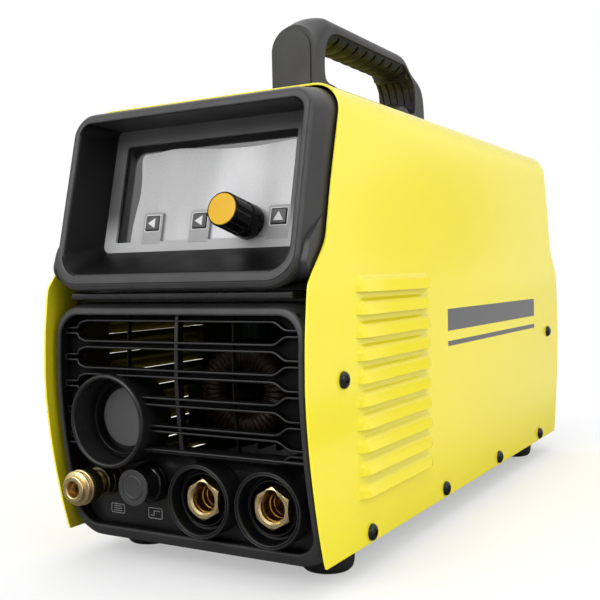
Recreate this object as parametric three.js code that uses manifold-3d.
// Portable TIG welding inverter: folded sheet cover, moulded front with display
// hood, grille, gas and cable sockets, carry handle, rubber feet, rear fan panel
// and the main parts inside. Millimetres, +Z up, front faces -Y, right is +X.
// The ground is z = 0; the pieces are drawn from the cover's lower edge, FOOT_H above it.
import * as THREE from 'three';
import { mergeVertices } from 'three/addons/utils/BufferGeometryUtils.js';
import Module from 'manifold-3d';

const wasm = await Module();
wasm.setup();

// ---------------------------------------------------------------- shared dimensions
const FOOT_H = 14;              // ground to the cover's lower edge
const COVER_W = 155;            // outside width
const COVER_H = 221.2;          // lower edge to top
const COVER_T = 1.2;            // sheet thickness
const COVER_R = 15.2;           // outside bend radius of the top corners
const COVER_OUT = COVER_W / 2;  // outer face of the side, from the middle
const COVER_IN = COVER_OUT - COVER_T;

const SCREW_Y = [-150, -50, 50, 150];  // screws along each lower edge
const SCREW_Z = 5.3;
const MID_SCREW_Y = 177;               // screws near the front and rear edges
const MID_SCREW_Z = 82.5;
const SIDE_SCREWS = [
  ...SCREW_Y.map((y, i) => ({ tag: `${i + 1}`, y, z: SCREW_Z })),
  { tag: 'front', y: -MID_SCREW_Y, z: MID_SCREW_Z },
  { tag: 'rear', y: MID_SCREW_Y, z: MID_SCREW_Z },
];

// Front panel: distances forward of the middle, and [x, z] centres.
const PLATE_BACK = 184;
const PLATE_FACE = 187;
const SEAT = PLATE_FACE + 0.3;       // underside of flanges in front of the plate
const NUT_SEAT = PLATE_BACK - 0.3;   // front of nuts behind the plate
const WELL = [-40.5, 60.4];
const GAS_OUTLET = [-53, 26];
const CONTROL_SOCKET = [-27.3, 27.8];
const WELD_SOCKETS = { left: [9.8, 24], right: [48.7, 24] };
const WELD_HOLE_R = 14.3;

const HANDLE_SCREWS = { front: -77.5, rear: 77 };  // y of each

const FAN = [0, 72];                 // x, z of the fan axis

// Centres on the sloping rear face, in its own x; all lie at local y = 0.
const SWITCH_X = -38;
const GLAND_X = 38;
const INLET_X = 4;

// Front edge of the cover: [distance in front of the middle, height].
// The rear edge is its mirror image.
const EDGE = [
  [193.5, 0], [197, 3.2], [200.9, 16.3], [205.8, 38.6], [209.1, 60.1], [210.7, 81],
  [210, 104], [207, 127.1], [197.2, 138.6], [189.8, 148.1], [171.6, COVER_H],
];

// ---------------------------------------------------------------- materials
const standard = (look) => new THREE.MeshStandardMaterial(look);
const YELLOW = standard({ color: 0xf2e534, roughness: 0.42, metalness: 0 });
const PLASTIC = standard({ color: 0x303134, roughness: 0.48, metalness: 0 });
const GLOSS = standard({ color: 0x0d0d0f, roughness: 0.12, metalness: 0 });
const GREY = standard({ color: 0x8f9092, roughness: 0.35, metalness: 0 });
const LENS = standard({ color: 0x9a9b9d, roughness: 0.15, metalness: 0 });
const AMBER = standard({ color: 0xf0b92a, roughness: 0.45, metalness: 0 });
const BRASS = standard({ color: 0xc79a4b, roughness: 0.28, metalness: 1 });
const STEEL = standard({ color: 0x9c9ea2, roughness: 0.4, metalness: 1 });
const BLACK_STEEL = standard({ color: 0x1b1b1d, roughness: 0.35, metalness: 0.9 });
const RUBBER = standard({ color: 0x1c1c1d, roughness: 0.85, metalness: 0 });
const BOARD = standard({ color: 0x1f5b35, roughness: 0.5, metalness: 0 });
const ALUMINIUM = standard({ color: 0xb9bcc0, roughness: 0.45, metalness: 1 });
const FERRITE = standard({ color: 0x2b2a2c, roughness: 0.7, metalness: 0.1 });
const COPPER = standard({ color: 0xa9562c, roughness: 0.4, metalness: 0.9 });

// ---------------------------------------------------------------- frames
// In a frame, local x runs across a face, local y up it and local z out of it.
const frameAt = (origin, across, up, out) => new THREE.Matrix4()
  .makeBasis(new THREE.Vector3(...across), new THREE.Vector3(...up), new THREE.Vector3(...out))
  .setPosition(...origin);
const within = (outer, ...inner) => inner.reduce((a, b) => a.multiply(b), outer.clone());
const shift = (x, y, z) => new THREE.Matrix4().makeTranslation(x, y, z);

const WORLD = new THREE.Matrix4();
const FRONT = frameAt([0, 0, 0], [1, 0, 0], [0, 0, 1], [0, -1, 0]);
const REAR = frameAt([0, 0, 0], [-1, 0, 0], [0, 0, 1], [0, 1, 0]);
const RIGHT = frameAt([0, 0, 0], [0, 1, 0], [0, 0, 1], [1, 0, 0]);
const LEFT = frameAt([0, 0, 0], [0, -1, 0], [0, 0, 1], [-1, 0, 0]);

const HOOD_SLOPE = 0.235;       // lean of the display hood, run per rise
const HOOD_COS = 1 / Math.hypot(1, HOOD_SLOPE);
const HOOD_SIN = HOOD_SLOPE * HOOD_COS;
const HOOD_Z = 150;             // height of the hood frame's origin
const HOOD = frameAt([0, -204.3, HOOD_Z], [1, 0, 0],
  [0, HOOD_SIN, HOOD_COS], [0, -HOOD_COS, HOOD_SIN]);

const REAR_SLOPE = 0.249;       // lean of the upper rear face
const REAR_COS = 1 / Math.hypot(1, REAR_SLOPE);
const REAR_SIN = REAR_SLOPE * REAR_COS;
const REAR_FACE_Y = 176.7;
const REAR_FACE = frameAt([0, REAR_FACE_Y, 185], [-1, 0, 0],
  [0, -REAR_SIN, REAR_COS], [0, REAR_COS, REAR_SIN]);

// ---------------------------------------------------------------- outlines and spans
const about = (centre, half) => [centre - half, centre + half];
// A span measured outward from the middle, on the right (+1) or left (-1).
const sideSpan = (sign, inner, outer) => (sign > 0 ? [inner, outer] : [-outer, -inner]);
const polar = ([x, y], radius, angle) =>
  [x + radius * Math.cos(angle), y + radius * Math.sin(angle)];

const quarterArc = (x, y, radius, start, steps) =>
  Array.from({ length: steps + 1 }, (_, k) =>
    polar([x, y], radius, start + (Math.PI / 2) * k / steps));

// radii: one number, or [bottom left, bottom right, top right, top left].
const roundRect = ([x0, x1], [y0, y1], radii, steps) => {
  const [botL, botR, topR, topL] = Array.isArray(radii) ? radii : Array(4).fill(radii);
  const corner = (x, y, radius, start) =>
    (radius === 0 ? [[x, y]] : quarterArc(x, y, radius, start, steps));
  return [
    ...corner(x0 + botL, y0 + botL, botL, Math.PI),
    ...corner(x1 - botR, y0 + botR, botR, 1.5 * Math.PI),
    ...corner(x1 - topR, y1 - topR, topR, 0),
    ...corner(x0 + topL, y1 - topL, topL, 0.5 * Math.PI),
  ];
};

// Reach of the edge at height z; it is taken as upright below the second station.
const edgeReach = (z) => {
  if (z <= EDGE[1][1]) return EDGE[1][0];
  const i = EDGE.findIndex(([, height]) => z <= height);
  const [[y0, z0], [y1, z1]] = [EDGE[i - 1], EDGE[i]];
  return y0 + (y1 - y0) * (z - z0) / (z1 - z0);
};
// [y, z] points up the front, set back from the edge by a recess.
const edgeLine = ([z0, z1], recess, steps) => Array.from({ length: steps + 1 }, (_, k) => {
  const z = z0 + (z1 - z0) * k / steps;
  return [recess - edgeReach(z), z];
});
const edgeBand = (heights, outerRecess, innerRecess, steps) => [
  ...edgeLine(heights, innerRecess, steps),
  ...edgeLine(heights, outerRecess, steps).reverse(),
];

// ---------------------------------------------------------------- solids
const solid = (geom) => {
  geom.deleteAttribute('normal');
  geom.deleteAttribute('uv');
  const merged = mergeVertices(geom, 1e-4);
  return new wasm.Manifold(new wasm.Mesh({
    numProp: 3,
    vertProperties: new Float32Array(merged.attributes.position.array),
    triVerts: new Uint32Array(merged.index.array),
  }));
};
const sum = (...list) => list.flat().reduce((a, b) => a.add(b));
const cut = (base, ...list) => list.flat().reduce((a, b) => a.subtract(b), base);

const extrude = (points, [z0, z1], frame) => {
  const shape = new THREE.Shape(points.map((point) => new THREE.Vector2(...point)));
  const geom = new THREE.ExtrudeGeometry(shape, { depth: z1 - z0, bevelEnabled: false, steps: 1 });
  return solid(geom.translate(0, 0, z0).applyMatrix4(frame));
};
const box = ([x0, x1], [y0, y1], [z0, z1], frame = WORLD) => {
  const geom = new THREE.BoxGeometry(x1 - x0, y1 - y0, z1 - z0);
  geom.translate((x0 + x1) / 2, (y0 + y1) / 2, (z0 + z1) / 2);
  return solid(geom.applyMatrix4(frame));
};
// Cylinder or prism along the frame's z, with its axis through [x, y].
const rod = ([x, y], radius, [z0, z1], frame, sides, turn = 0) => {
  const geom = new THREE.CylinderGeometry(radius, radius, z1 - z0, sides);
  geom.rotateX(Math.PI / 2).rotateZ(turn).translate(x, y, (z0 + z1) / 2);
  return solid(geom.applyMatrix4(frame));
};
const hexagon = (centre, acrossFlats, span, frame, turn = 0) =>
  rod(centre, acrossFlats / Math.sqrt(3), span, frame, 6, turn);
// Lathe piece about the frame's z; profile points are [radius, z].
const turned = ([x, y], profile, frame, sides) => {
  // The sign of the profile's area tells which way it has to run.
  const area = profile.reduce((total, [radius, z], i) => {
    const [nextRadius, nextZ] = profile[(i + 1) % profile.length];
    return total + radius * nextZ - nextRadius * z;
  }, 0);
  const run = area < 0 ? [...profile].reverse() : profile;
  const geom = new THREE.LatheGeometry(run.map((point) => new THREE.Vector2(...point)), sides);
  return solid(geom.rotateX(Math.PI / 2).translate(x, y, 0).applyMatrix4(frame));
};
// Closed loft through sections that all have the same number of [x, y, z] points.
const loft = (sections, frame) => {
  const count = sections[0].length;
  const last = (sections.length - 1) * count;
  const index = [];
  for (let base = 0; base < last; base += count) {
    for (let j = 0; j < count; j++) {
      const a = base + j;
      const b = base + (j + 1) % count;
      index.push(a, b, b + count, a, b + count, a + count);
    }
  }
  for (let j = 1; j < count - 1; j++) index.push(0, j + 1, j);
  for (let j = 1; j < count - 1; j++) index.push(last, last + j, last + j + 1);
  const geom = new THREE.BufferGeometry();
  const position = new Float32Array(sections.flat(2));
  geom.setAttribute('position', new THREE.BufferAttribute(position, 3));
  geom.setIndex(index);
  return solid(geom.applyMatrix4(frame));
};

// Screw hole through one side wall; sign +1 is the right side.
const sideHole = (sign, y, z, radius) =>
  rod([y, z], radius, sideSpan(sign, 70, 80), RIGHT, 12);

// ---------------------------------------------------------------- group
const root = new THREE.Group();
const body = new THREE.Group();
body.position.set(0, 0, FOOT_H);
root.add(body);

const geometryOf = (shape) => {
  const { vertProperties, triVerts } = shape.getMesh();
  const geom = new THREE.BufferGeometry();
  geom.setAttribute('position', new THREE.BufferAttribute(new Float32Array(vertProperties), 3));
  geom.setIndex(new THREE.BufferAttribute(new Uint32Array(triVerts), 1));
  geom.computeVertexNormals();
  return geom;
};
const part = (name, shape, material) => {
  const mesh = new THREE.Mesh(geometryOf(shape), material);
  mesh.name = name;
  body.add(mesh);
};

// ---------------------------------------------------------------- cover
const LOUVRES = { count: 10, pitch: 11, topZ: 122.4, rearY: -71, frontY: -163 };

// Folded sheet, trimmed to the edge profile at both ends.
const coverSheet = () => {
  const arch = (radius) => {
    const x = COVER_OUT - COVER_R;
    const z = COVER_H - COVER_R;
    return [
      ...quarterArc(x, z, radius, 0, 6),
      ...quarterArc(-x, z, radius, Math.PI / 2, 6),
    ];
  };
  const section = extrude([
    [COVER_OUT, -1], ...arch(COVER_R), [-COVER_OUT, -1],
    [-COVER_IN, -1], ...arch(COVER_R - COVER_T).reverse(), [COVER_IN, -1],
  ], about(0, 230), FRONT);
  const rearEdge = [...EDGE.slice(0, -1), [EDGE.at(-1)[0], COVER_H + 1]];
  const frontEdge = rearEdge.map(([y, z]) => [-y, z]).reverse();
  return section.intersect(extrude([...frontEdge, ...rearEdge], about(0, 90), RIGHT));
};

const louvreSlot = (sign, z) => box(
  sideSpan(sign, COVER_IN - 0.5, COVER_OUT + 0.5),
  [LOUVRES.frontY + 3, LOUVRES.rearY - 3],
  [z - 0.8, z + 2.4],
);

// The pressed hood stands out of the sheet and is open underneath.
const louvreHood = (sign, z) => {
  const profile = [  // [x, z]
    [COVER_IN + 0.2, z + 7.8], [COVER_OUT - 0.05, z + 8.6], [COVER_OUT + 3.4, z + 3.2],
    [COVER_OUT + 4, z + 0.2], [COVER_OUT + 2.9, z + 0.2], [COVER_OUT + 2.4, z + 2.9],
    [COVER_IN + 0.2, z + 6.6],
  ];
  const { frontY, rearY } = LOUVRES;
  return sign > 0
    ? extrude(profile, [-rearY, -frontY], FRONT)
    : extrude(profile, [frontY, rearY], REAR);
};

const buildCover = () => {
  const cuts = [];
  const hoods = [];
  for (const sign of [-1, 1]) {
    for (let k = 0; k < LOUVRES.count; k++) {
      const z = LOUVRES.topZ - k * LOUVRES.pitch;
      cuts.push(louvreSlot(sign, z));
      hoods.push(louvreHood(sign, z));
    }
    cuts.push(...SIDE_SCREWS.map(({ y, z }) => sideHole(sign, y, z, 2.2)));
  }
  for (const y of Object.values(HANDLE_SCREWS)) {
    cuts.push(rod([0, y], 3.2, about(COVER_H, 3), WORLD, 16));
  }
  part('cover_shell', cut(coverSheet(), cuts).add(sum(hoods)), YELLOW);
};

// ---------------------------------------------------------------- base tray
const buildBaseTray = () => {
  const half = 76;
  const sheet = 1.2;
  const bottom = 0.4;
  const floor = box(about(0, half), about(0, 183.4), [bottom, bottom + sheet]);
  const walls = [1, -1].map((sign) =>
    box(sideSpan(sign, half - sheet, half), about(0, 168), [bottom, 16]));
  const holes = [-1, 1].flatMap((sign) => SCREW_Y.map((y) => sideHole(sign, y, SCREW_Z, 2)));
  part('base_tray', cut(sum(floor, walls), holes), STEEL);
};

// ---------------------------------------------------------------- front panel
const PANEL_Z = [-1, 117.2];
const FRONT_ZONE = [150, 230];       // depth range that takes in the whole front
const SLOT_Z = [105.2, 91.7, 78.1, 64.3, 51.2];
const GRILLE_BACK = 14.5;            // recess of the grille's inner face
const GRILLE_BARS = [                // [x from, x to, recess of the front]
  [-1.2, 1.2, 8.4], [-31.9, -30.7, 10.5], [31.1, 32.3, 10.5],
];

const frontFrame = () => {
  const profile = [
    [-PLATE_BACK, PANEL_Z[1]], [-PLATE_BACK, PANEL_Z[0]], ...edgeLine(PANEL_Z, 4, 6),
  ];
  const outline = extrude(roundRect(about(0, 75.8), PANEL_Z, 12, 4), FRONT_ZONE, FRONT);
  const window = extrude(roundRect(about(0, 70.9), [4.2, 113.3], 11, 4), FRONT_ZONE, FRONT);
  return cut(extrude(profile, about(0, 76), RIGHT).intersect(outline), window);
};

// Long slot with narrow necks at both ends, enlarged all round by `grow`.
const slotOutline = (middle, grow) => {
  const end = 70 + grow;
  const neck = 61.2 + grow * 0.4;
  const belly = 55.6 + grow * 0.4;
  const low = 0.9 + grow;
  const high = 4.7 + grow;
  const half = [  // [x, half height]
    [-end, low], [-neck, low], [-belly, high], [belly, high], [neck, low], [end, low],
  ];
  return [
    ...half.map(([x, rise]) => [x, middle - rise]),
    ...half.reverse().map(([x, rise]) => [x, middle + rise]),
  ];
};

// Sheet with a raised outline round each slot, and upright bars across them.
const grille = (inside) => {
  const layer = (recess) =>
    extrude(edgeBand([45.5, 114], recess, GRILLE_BACK, 3), about(0, 72), RIGHT).intersect(inside);
  const slots = (grow) => SLOT_Z.map((z) => extrude(slotOutline(z, grow), FRONT_ZONE, FRONT));
  const outlines = sum(slots(1.2)).intersect(layer(8));
  const bars = GRILLE_BARS.map(([x0, x1, recess]) =>
    extrude(edgeBand([46, 113.8], recess, GRILLE_BACK, 3), [x0, x1], RIGHT));
  return sum(cut(sum(layer(12), outlines), slots(0)), bars);
};

const buildFrontPanel = () => {
  const inside = extrude(roundRect(about(0, 72), [3.5, 114], 11, 4), FRONT_ZONE, FRONT);
  const ledge = extrude([  // [y, z]
    [-201, 48.6], [-201, 46.6], [-187, 42.6], [-184, 42.6], [-184, 46.4], [-193, 48.6],
  ], about(0, 72), RIGHT);
  const plate = box(about(0, 72), [-PLATE_FACE, -PLATE_BACK], [3.5, 44]).intersect(inside);
  let panel = sum(frontFrame(), grille(inside), ledge, plate);
  // Round well: open tube with a closed floor.
  panel = panel.add(rod(WELL, 23.65, [PLATE_BACK, 207], FRONT, 32));
  panel = panel.subtract(rod(WELL, 21, [PLATE_FACE, 215], FRONT, 32));
  // Neck between the lower frame and the display hood, with its thin raised bar.
  panel = sum(panel,
    box(about(0, 74.5), [-196, -PLATE_BACK], [112, 124.8]),
    box(about(0, 66), [-202.5, -195.5], [120.8, 124.3]));
  // Side lugs for the cover screws.
  for (const sign of [-1, 1]) {
    panel = panel.add(box(sideSpan(sign, 73.2, 75.8), [-187, -168], [60, 105]));
    panel = panel.subtract(sideHole(sign, -MID_SCREW_Y, MID_SCREW_Z, 2));
  }
  const plateHole = (centre, radius) => rod(centre, radius, [180, 190], FRONT, 20);
  const holes = [
    ...Object.values(WELD_SOCKETS).map((centre) => plateHole(centre, WELD_HOLE_R)),
    plateHole(GAS_OUTLET, 6.4),
    plateHole(CONTROL_SOCKET, 7.4),
  ];
  part('front_panel', cut(panel, holes), PLASTIC);
};

// ---------------------------------------------------------------- display hood
const HOOD_DEPTH = 22;                    // hood rim to display fascia, along Y
const FASCIA = -HOOD_DEPTH * HOOD_COS;    // the same in the hood frame's z

// Section at a depth in the hood frame; bottom and top are heights in the body.
const hoodSection = (halfWidth, [bottom, top], depth, bottomR, topR) => {
  const up = (height) => (height - HOOD_Z - depth * HOOD_SIN) / HOOD_COS;
  const radii = [bottomR, bottomR, topR, topR];
  return roundRect(about(0, halfWidth), [up(bottom), up(top)], radii, 5)
    .map(([x, y]) => [x, y, depth]);
};

// Funnel from the fascia opening out to the rim, enlarged by `grow`.
const hoodFunnel = (grow, from, to) => {
  const section = (depth) => {
    const ratio = (depth - FASCIA) / -FASCIA;
    const mix = (inner, rim) => inner + (rim - inner) * ratio;
    const heights = [mix(144.7, 133.4) - grow, mix(209.9, 212) + grow];
    return hoodSection(mix(60, 67.3) + grow, heights, depth, mix(4.5, 12), mix(3.5, 7));
  };
  return loft([section(from), section(to)], HOOD);
};

const buildDisplayHood = () => {
  const back = -24;
  const bend = -14.6;
  const outer = loft([
    hoodSection(75.2, [125.4, 218.9], back, 14, 14),
    hoodSection(75.2, [125.4, 218.9], bend, 15, 14),
    hoodSection(72.3, [125.4, 217.2], 0, 16, 12),
  ], HOOD);
  const hollow = loft([
    hoodSection(72.8, [127.8, 216.5], back - 2, 12, 12),
    hoodSection(72.8, [127.8, 216.5], bend, 12.5, 12),
    hoodSection(70.6, [127.8, 214.9], -2.6, 13.5, 10),
  ], HOOD);
  const shell = cut(outer, cut(hollow, hoodFunnel(2.4, FASCIA, 0)));
  part('display_hood', cut(shell, hoodFunnel(0, FASCIA - 6, 2)), PLASTIC);
};

// ---------------------------------------------------------------- display
// Places on the display are [x, y] in the hood frame.
const BUTTONS = { left: -29, middle: 0.7, right: 46.7 };
const BUTTON = { y: 14.5, width: 8.2, height: 7.2 };
const KNOB = [30.8, 12];
const fasciaSpan = (back, front) => [FASCIA + back, FASCIA + front];

const buttonBlock = (x, gap, span) => box(
  about(x, BUTTON.width / 2 + gap), about(BUTTON.y, BUTTON.height / 2 + gap), span, HOOD);

const buildDisplay = () => {
  const holes = Object.values(BUTTONS).map((x) => buttonBlock(x, 0.3, fasciaSpan(-8, 3)));
  const face = extrude(roundRect(about(0, 64), [-3.6, 70.2], [4, 4, 3, 3].fill(4), 3),
    fasciaSpan(-1.8, -0.3), HOOD);
  // The window leaves a tab of fascia round each button.
  const tabs = Object.values(BUTTONS).map((x) =>
    box(about(x, 6.1), [3, BUTTON.y + 5.6], fasciaSpan(-5, 3), HOOD));
  const window = cut(
    extrude(roundRect(about(0, 52.5), [5, 57.9], 0.8, 2), fasciaSpan(-4, 2), HOOD), tabs);
  part('display_fascia', cut(face, window, holes), GREY);

  const lens = extrude(
    roundRect(about(0, 55.5), [2.4, 60.5], 1.5, 2), fasciaSpan(-3.6, -2.1), HOOD);
  part('display_lens', cut(lens, holes, rod(KNOB, 3.6, fasciaSpan(-8, 0), HOOD, 16)), LENS);

  for (const [tag, x] of Object.entries(BUTTONS)) {
    part(`button_${tag}`, buttonBlock(x, 0, fasciaSpan(-7.6, 0.5)), PLASTIC);
  }
};

const buildKnob = () => {
  const base = FASCIA + 0.5;
  const top = 2.6;
  const blank = turned(KNOB, [
    [0, base], [8.4, base], [8.6, base + 1.2], [8.3, base + 8.5], [7.5, base + 9.3],
    [8.15, base + 10.3], [8.1, top], [0, top],
  ], HOOD, 20);
  const flutes = Array.from({ length: 8 }, (_, i) => {
    const centre = polar(KNOB, 9.1, ((i + 0.5) / 8) * Math.PI * 2);
    return rod(centre, 1.6, [base + 10.8, top + 1], HOOD, 6);
  });
  const shaftBore = rod(KNOB, 3.05, [base - 1, base + 12], HOOD, 12);
  const capRecess = rod(KNOB, 7.6, [top - 1.6, top + 1], HOOD, 20);
  part('knob_body', cut(blank, flutes, shaftBore, capRecess), GLOSS);
  part('knob_cap', rod(KNOB, 7.4, [top - 1.3, top + 0.15], HOOD, 20), AMBER);
  part('encoder_shaft', rod(KNOB, 2.75, [FASCIA - 13.6, base + 11.6], HOOD, 16), STEEL);
  const [x, y] = KNOB;
  const housing = box(about(x, 6.5), about(y, 6.5), fasciaSpan(-15.4, -9), HOOD);
  part('encoder_housing', cut(housing, rod(KNOB, 3.05, fasciaSpan(-14, -8), HOOD, 16)), STEEL);
};

const buildControlBoard = () => part('control_board', sum(
  box([-60, 60], [0.5, 62], fasciaSpan(-17.4, -15.8), HOOD),
  box([-50, 18], [26, 56], fasciaSpan(-15.9, -6.5), HOOD),
), BOARD);

// ---------------------------------------------------------------- front fittings
// Profile z is the distance forward of the middle.
const buildWellBlank = () => part('well_blank', turned(WELL, [
  [0, SEAT], [20.4, SEAT], [20.4, 188.6], [18.4, 189.2], [17.4, 188.4], [16.4, 189.4], [0, 189.4],
], FRONT, 24), GLOSS);

const buildGasOutlet = () => {
  const tip = 218;
  const flats = 17;
  const stem = turned(GAS_OUTLET, [
    [0, 170], [5.9, 170], [5.9, 188], [6.2, 192], [6.2, tip - 2.8], [7, tip - 2.3],
    [7, tip - 0.5], [6.5, tip], [0, tip],
  ], FRONT, 16);
  const collar = hexagon(GAS_OUTLET, flats, [SEAT, 192.4], FRONT, Math.PI / 6);
  const bore = rod(GAS_OUTLET, 3.6, [160, tip + 5], FRONT, 12);
  part('gas_outlet_body', cut(sum(stem, collar), bore), BRASS);
  part('gas_outlet_sleeve', turned(GAS_OUTLET, [
    [6.6, 196.4], [7.4, 196.4], [7.6, 203.5], [8.5, 204.2], [8.5, 206], [7.9, 206.6],
    [7.9, 207.6], [8.5, 208.2], [8.5, 210], [7.8, 210.6], [7.8, 211.6], [8.3, 212.2],
    [8.1, 214.7], [6.6, 214.7], [6.6, 196.4],
  ], FRONT, 16), BRASS);
  part('gas_outlet_nut', cut(
    hexagon(GAS_OUTLET, flats, [179, NUT_SEAT], FRONT, Math.PI / 6),
    rod(GAS_OUTLET, 6.25, [178, 185], FRONT, 14),
  ), BRASS);
};

const buildControlSocket = () => {
  const shell = turned(CONTROL_SOCKET, [
    [0, 172], [7, 172], [7, SEAT], [9.6, SEAT], [9.6, 189.6], [7.6, 190.2], [7.6, 199], [0, 199],
  ], FRONT, 18);
  const socket = cut(shell, rod(CONTROL_SOCKET, 6.1, [191, 205], FRONT, 14));
  const pins = Array.from({ length: 5 }, (_, i) => {
    const centre = polar(CONTROL_SOCKET, 3.4, Math.PI / 2 + (i / 5) * Math.PI * 2);
    return rod(centre, 0.6, [190.5, 197.5], FRONT, 5);
  });
  part('control_socket', sum(socket, pins), BLACK_STEEL);
  part('control_socket_cap', turned(CONTROL_SOCKET, [
    [0, 199.6], [7.95, 199.6], [7.95, 190.6], [9, 190.6], [9, 202.2], [8.2, 203], [0, 203],
  ], FRONT, 20), GLOSS);
};

const buildWeldSocket = (tag, centre) => {
  const flangeR = 18;
  part(`weld_socket_${tag}_collar`, turned(centre, [
    [9.4, 168], [14, 168], [14, SEAT], [flangeR, SEAT], [flangeR, 198.8], [17.2, 200],
    [15.6, 200], [14.8, 197], [12.4, 196.4], [12.1, 180], [9.4, 180], [9.4, 168],
  ], FRONT, 28), PLASTIC);
  // Hexagon with a chamfered front, bored and keyed upward.
  const blank = sum(
    hexagon(centre, 20, [180.6, 195.7], FRONT, Math.PI / 6),
    rod(centre, 9, [158, 181], FRONT, 18),
  ).intersect(turned(centre, [
    [0, 157], [11.7, 157], [11.7, 194.6], [10.4, 195.7], [0, 195.7],
  ], FRONT, 18));
  const [x, z] = centre;
  const bore = rod(centre, 6.5, [170, 200], FRONT, 20);
  const keyway = box(about(x, 2.1), [z, z + 8.4], [174, 200], FRONT);
  part(`weld_socket_${tag}_insert`, cut(blank, bore, keyway), BRASS);
  part(`weld_socket_${tag}_nut`, cut(
    hexagon(centre, 34, [176, NUT_SEAT], FRONT),
    rod(centre, WELD_HOLE_R, [175, 185], FRONT, 20),
  ), PLASTIC);
};

// ---------------------------------------------------------------- carry handle
const HANDLE_HALF_W = 14.2;
const HANDLE_TOP = 285;
const HANDLE_OUTER = [  // [y, z]
  [-84.5, 221.5], [-84.5, 262], [-83.4, 269.5], [-80, 276.5], [-74.5, 281.6], [-66, 284.5],
  [-56, HANDLE_TOP], [42, HANDLE_TOP], [48.5, 283.6], [53.4, 280.8], [58.4, 277.4],
  [63.6, 274.2], [71, 271.2], [77.2, 268.2], [80.8, 264.2], [82.8, 257], [83.8, 245],
  [84.2, 221.5],
];
// The legs stand on low blocks; the grip's underside is at 268.8.
const HANDLE_INNER = [  // [y, z]
  [49, 220], [49, 238.5], [50.2, 241], [53, 242], [61, 242], [65, 243.4], [66.6, 247.5],
  [66.6, 256], [64.6, 263], [60, 267.4], [54, 268.8], [-56, 268.8], [-64, 267], [-68.8, 262],
  [-70.4, 254], [-70.4, 248], [-69, 244], [-65, 242.2], [-58, 242], [-54.4, 241],
  [-53, 238.5], [-53, 220],
];

const buildHandle = () => {
  // Seen from the front, the upper corners are rounded.
  const envelope = extrude(
    roundRect(about(0, HANDLE_HALF_W), [210, HANDLE_TOP + 0.5], [0, 0, 9, 9], 5),
    about(0, 100), FRONT);
  const outer = extrude(HANDLE_OUTER, about(0, HANDLE_HALF_W), RIGHT).intersect(envelope);
  const holes = Object.values(HANDLE_SCREWS).map((y) =>
    rod([0, y], 2.7, about(221.5, 12), WORLD, 14));
  part('handle', cut(outer, extrude(HANDLE_INNER, about(0, 30), RIGHT), holes), PLASTIC);
  for (const [tag, y] of Object.entries(HANDLE_SCREWS)) {
    const shaft = rod([0, y], 2.4, [215, 233], WORLD, 14);
    const head = rod([0, y], 5.5, [215.4, 219.4], WORLD, 18);
    part(`handle_screw_${tag}`, sum(shaft, head), STEEL);
  }
};

// ---------------------------------------------------------------- cover screws
const coverScrew = (sign, y, z) => {
  const frame = sign > 0 ? RIGHT : LEFT;
  const x = sign * y;
  const blank = turned([x, z], [
    [0, 71.5], [1.6, 71.5], [1.6, COVER_OUT + 0.3], [4.1, COVER_OUT + 0.3],
    [3.6, COVER_OUT + 1.8], [0, COVER_OUT + 2.5],
  ], frame, 10);
  const recess = (halfX, halfZ) =>
    box(about(x, halfX), about(z, halfZ), [COVER_OUT + 1.2, COVER_OUT + 4], frame);
  return cut(blank, recess(2.2, 0.4), recess(0.4, 2.2));
};

const buildCoverScrews = () => {
  for (const [side, sign] of [['left', -1], ['right', 1]]) {
    for (const { tag, y, z } of SIDE_SCREWS) {
      part(`cover_screw_${side}_${tag}`, coverScrew(sign, y, z), BLACK_STEEL);
    }
  }
};

// ---------------------------------------------------------------- feet
const buildFeet = () => {
  const profile = [
    [0, -9], [5, -9], [5, -FOOT_H], [10.8, -FOOT_H], [13, -FOOT_H + 1.6],
    [13.6, -FOOT_H + 5], [13.6, 0.1], [0, 0.1],
  ];
  for (const [end, y] of [['front', -155], ['rear', 155]]) {
    for (const [side, x] of [['left', -55.5], ['right', 55.5]]) {
      part(`foot_${end}_${side}`, turned([x, y], profile, WORLD, 20), RUBBER);
    }
  }
};

// ---------------------------------------------------------------- rear panel
const buildRearPanel = () => {
  const heights = [1, 218.8];
  const profile = edgeBand(heights, 4, 7, 18).map(([y, z]) => [-y, z]);
  const outline = roundRect(about(0, 75.2), heights, [2, 2, 14, 14], 5);
  let panel = extrude(profile, about(0, 75.2), RIGHT)
    .intersect(extrude(outline, [120, 230], REAR));
  // Fan slots fill a circle, split by an upright bar in the middle.
  const slots = [];
  for (let k = -4; k <= 4; k++) {
    const rise = k * 11.5;
    const half = Math.sqrt(54 * 54 - rise * rise);
    for (const sign of [-1, 1]) {
      slots.push(box(sideSpan(sign, 2.5, half), about(FAN[1] + rise, 3.6), [150, 230], REAR));
    }
  }
  panel = cut(panel, slots);
  for (const sign of [-1, 1]) {
    panel = panel.add(box(sideSpan(sign, 72.4, 75), [168, 204], [60, 105]));
    panel = panel.subtract(sideHole(sign, MID_SCREW_Y, MID_SCREW_Z, 2));
  }
  // Openings in the sloping upper face: switch, cable gland, gas inlet.
  const through = about(0, 12);
  part('rear_panel', cut(panel,
    box(about(SWITCH_X, 11.3), about(0, 14.8), through, REAR_FACE),
    rod([GLAND_X, 0], 9.4, through, REAR_FACE, 24),
    rod([INLET_X, 0], 6.6, through, REAR_FACE, 20),
  ), PLASTIC);
};

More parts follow.
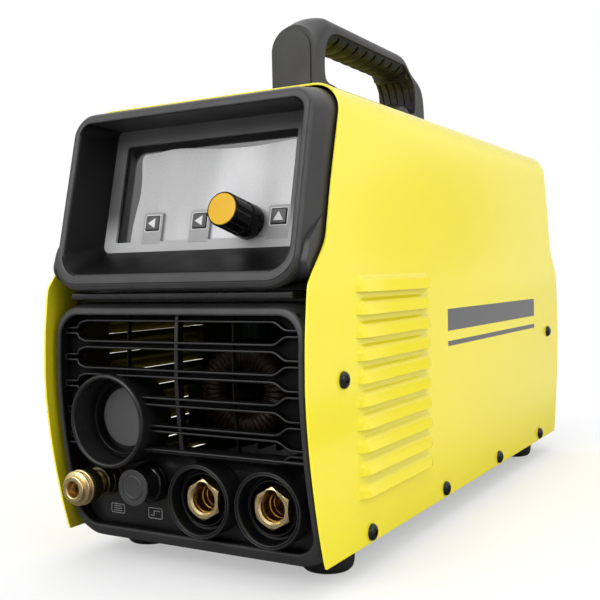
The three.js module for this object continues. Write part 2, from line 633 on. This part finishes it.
// ---------------------------------------------------------------- fan
const buildFan = () => {
  const inner = 166.5;
  const outer = 191.5;
  const halfSize = 60;
  const [x, z] = FAN;
  const spun = (angle) => within(REAR, shift(x, z, 0), new THREE.Matrix4().makeRotationZ(angle));

  const square = extrude(
    roundRect(about(x, halfSize), about(z, halfSize), 5, 3), [inner, outer], REAR);
  const ring = cut(square, rod(FAN, 57, [inner - 1, outer + 1], REAR, 28));
  const web = [inner, inner + 2.4];
  const spokes = [0, 1, 2, 3].map((k) =>
    box([16, 60], about(0, 2.5), web, spun(k * Math.PI / 2 + 0.4)));
  const shaftHole = rod(FAN, 2.4, [inner - 1, inner + 4], REAR, 12);
  part('fan_frame', cut(sum(ring, spokes, rod(FAN, 19, web, REAR, 24)), shaftHole), PLASTIC);

  const pitched = new THREE.Matrix4().makeRotationX(0.62);
  const blades = Array.from({ length: 7 }, (_, k) => {
    const frame = within(spun(k * Math.PI * 2 / 7), shift(0, 0, inner + 14), pitched);
    return box([16, 55], about(0, 11), about(0, 0.9), frame);
  });
  part('fan_rotor', sum(
    rod(FAN, 20, [inner + 4, outer - 1.5], REAR, 20),
    rod(FAN, 2.1, [inner + 0.4, inner + 5], REAR, 12),
    blades,
  ), GLOSS);
};

// ---------------------------------------------------------------- rear fittings
const buildMainsSwitch = () => {
  const block = (halfX, halfY, span) =>
    box(about(SWITCH_X, halfX), about(0, halfY), span, REAR_FACE);
  const housing = sum(block(13, 16.5, [0.3, 2]), block(11, 14.4, [-22, 0.4]));
  part('mains_switch_body', cut(housing, block(9.2, 13, [-15, 5])), PLASTIC);

  const tilt = 0.14;
  const reach = 11.8;
  const pivot = -3;
  const profile = [  // [up the face, out of it], before tilting
    [-reach, 2.2], [0, 1], [reach, 2.2], [reach, -2.5], [6, -9], [-6, -9], [-reach, -2.5],
  ].map(([up, out]) => {
    const arm = out - pivot;
    return [
      up * Math.cos(tilt) - arm * Math.sin(tilt),
      up * Math.sin(tilt) + arm * Math.cos(tilt) + pivot,
    ];
  });
  const frame = within(REAR_FACE, shift(SWITCH_X, 0, 0), RIGHT);
  part('mains_switch_rocker', extrude(profile, about(0, 8.8), frame), AMBER);
};

const buildMainsCable = () => {
  const centre = [GLAND_X, 0];
  const gland = sum(
    rod(centre, 9, [-10, 3], REAR_FACE, 20),
    hexagon(centre, 22, [0.4, 6.4], REAR_FACE),
    turned(centre, [
      [0, 5], [9.6, 5], [9.6, 18], [8, 23], [6.4, 24.5], [0, 24.5],
    ], REAR_FACE, 16),
  );
  part('cable_gland', cut(gland, rod(centre, 4.8, [-12, 26], REAR_FACE, 20)), PLASTIC);
  part('mains_cable', rod(centre, 4.4, [-30, 36], REAR_FACE, 20), RUBBER);
};

const buildGasInlet = () => {
  const centre = [INLET_X, 0];
  const tipY = 218;             // furthest reach of the tip's lower rim
  const tipR = 3.9;
  const tip = (tipY - REAR_FACE_Y - tipR * REAR_SIN) / REAR_COS;
  const inlet = sum(
    rod(centre, 6.2, [-14, 3], REAR_FACE, 16),
    hexagon(centre, 17, [0.4, 7.4], REAR_FACE),
    turned(centre, [
      [0, 5], [4.6, 5], [4.6, 16], [5.2, 16.4], [4.2, 21.4], [5.2, 21.8], [4.2, 26.8],
      [5.2, 27.2], [4.2, 32.2], [4.9, 32.6], [tipR, tip], [0, tip],
    ], REAR_FACE, 12),
  );
  part('gas_inlet', cut(inlet, rod(centre, 2.6, [-20, tip + 5], REAR_FACE, 10)), BRASS);

  // The plunger runs up the face, in a tower above the valve block.
  const plunger = within(REAR_FACE, frameAt([INLET_X, 0, -27], [1, 0, 0], [0, 0, -1], [0, 1, 0]));
  const valve = sum(
    box(about(INLET_X, 12), [-12, 12], [-40, -14.4], REAR_FACE),
    box(about(INLET_X, 8), [11.99, 34], [-36, -18], REAR_FACE),
  );
  part('gas_valve_body', cut(valve,
    rod(centre, 2.6, [-30, -10], REAR_FACE, 14),
    rod([0, 0], 4, [2, 40], plunger, 16),
  ), STEEL);
  part('gas_valve_plunger', rod([0, 0], 3.7, [3.4, 31], plunger, 16), STEEL);
};

// ---------------------------------------------------------------- power stage
// Flat base with fins hanging down.
const buildHeatsink = () => {
  const half = 62;
  const [finZ, baseZ, topZ] = [32, 60, 66];
  const fins = 11;
  const thickness = 2;
  const pitch = (2 * half - thickness) / (fins - 1);
  const comb = [[-half, topZ]];
  for (let k = 0; k < fins; k++) {
    const x = -half + k * pitch;
    if (k > 0) comb.push([x, baseZ]);
    comb.push([x, finZ], [x + thickness, finZ]);
    if (k < fins - 1) comb.push([x + thickness, baseZ]);
  }
  comb.push([half, topZ]);
  part('heatsink', extrude(comb, [-60, 110], FRONT), ALUMINIUM);
};

const buildPowerBoard = () => {
  const board = box([-66, 66], [-118, 64], [70.6, 72.4]);
  const cylinders = [[-40, -70], [0, -70], [40, -70], [-40, -20]].map((centre) =>
    rod(centre, 15, [72, 118], WORLD, 18));
  part('power_board', sum(board, cylinders, box([-10, 50], [-35, 10], [72, 92])), BOARD);
};

// Ferrite core with two windows and a copper winding on the middle leg.
const buildTransformer = () => {
  const y = 100;
  const base = 78;
  const windows = [[-28, -11], [11, 28]].map((span) =>
    box(span, about(y, 20), [base + 12, base + 54]));
  const core = box(about(0, 40), about(y, 18), [base, base + 66]);
  part('transformer_core', cut(core, windows), FERRITE);
  part('transformer_winding', cut(
    box(about(0, 27), about(y, 33), [base + 13, base + 53]),
    box(about(0, 11.5), about(y, 18.5), [base + 10, base + 60]),
  ), COPPER);
};

const buildOutputChoke = () => {
  const ring = new THREE.TorusGeometry(19, 9, 8, 18);
  part('output_choke', solid(ring.rotateX(Math.PI / 2).translate(0, -138, 70)), COPPER);
};

// ---------------------------------------------------------------- assembly
buildCover();
buildBaseTray();
buildFrontPanel();
buildDisplayHood();
buildDisplay();
buildKnob();
buildControlBoard();
buildWellBlank();
buildGasOutlet();
buildControlSocket();
for (const [tag, centre] of Object.entries(WELD_SOCKETS)) buildWeldSocket(tag, centre);
buildHandle();
buildCoverScrews();
buildFeet();
buildRearPanel();
buildFan();
buildMainsSwitch();
buildMainsCable();
buildGasInlet();
buildHeatsink();
buildPowerBoard();
buildTransformer();
buildOutputChoke();

export default root;
